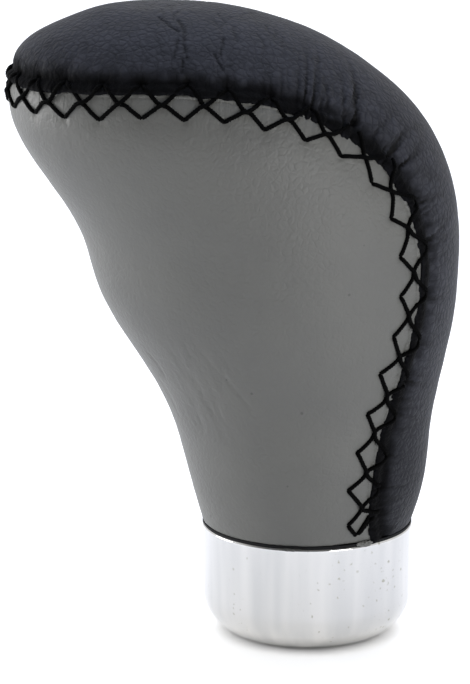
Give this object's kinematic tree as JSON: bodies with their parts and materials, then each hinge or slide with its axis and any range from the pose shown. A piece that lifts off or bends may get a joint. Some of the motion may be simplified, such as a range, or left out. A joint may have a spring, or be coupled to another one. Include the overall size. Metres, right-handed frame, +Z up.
{
  "type": "gear shift knob",
  "caption": "Hooked hand grip in grey and black leather panels laced along the seam, on a chromed foot collar with a threaded socket for a gear lever.",
  "frame": {"origin": "centre of the mouth of the lever thread, 0.4 mm above the collar's foot", "axes": "+Z up the lever axis towards the crown, -X towards the grip's nose, Y = 0 the mirror plane"},
  "size_m": [0.0708, 0.0456, 0.0996],
  "materials": {
    "moulded_core": "matte moulded",
    "turned_brass": "turned",
    "chromed_collar": "polished, lightly pitted",
    "black_rubber": "matte",
    "grey_leather": "fine grain, satin",
    "black_leather": "grained, satin",
    "black_thread": "waxed twist"
  },
  "bodies": {
    "root": {"core": "moulded_core", "lever_insert": "turned_brass", "chrome_collar": "chromed_collar", "joint_ring": "black_rubber", "grey_leather": "grey_leather", "black_leather": "black_leather", "seam_lacing": "black_thread"}
  },
  "joints": []
}
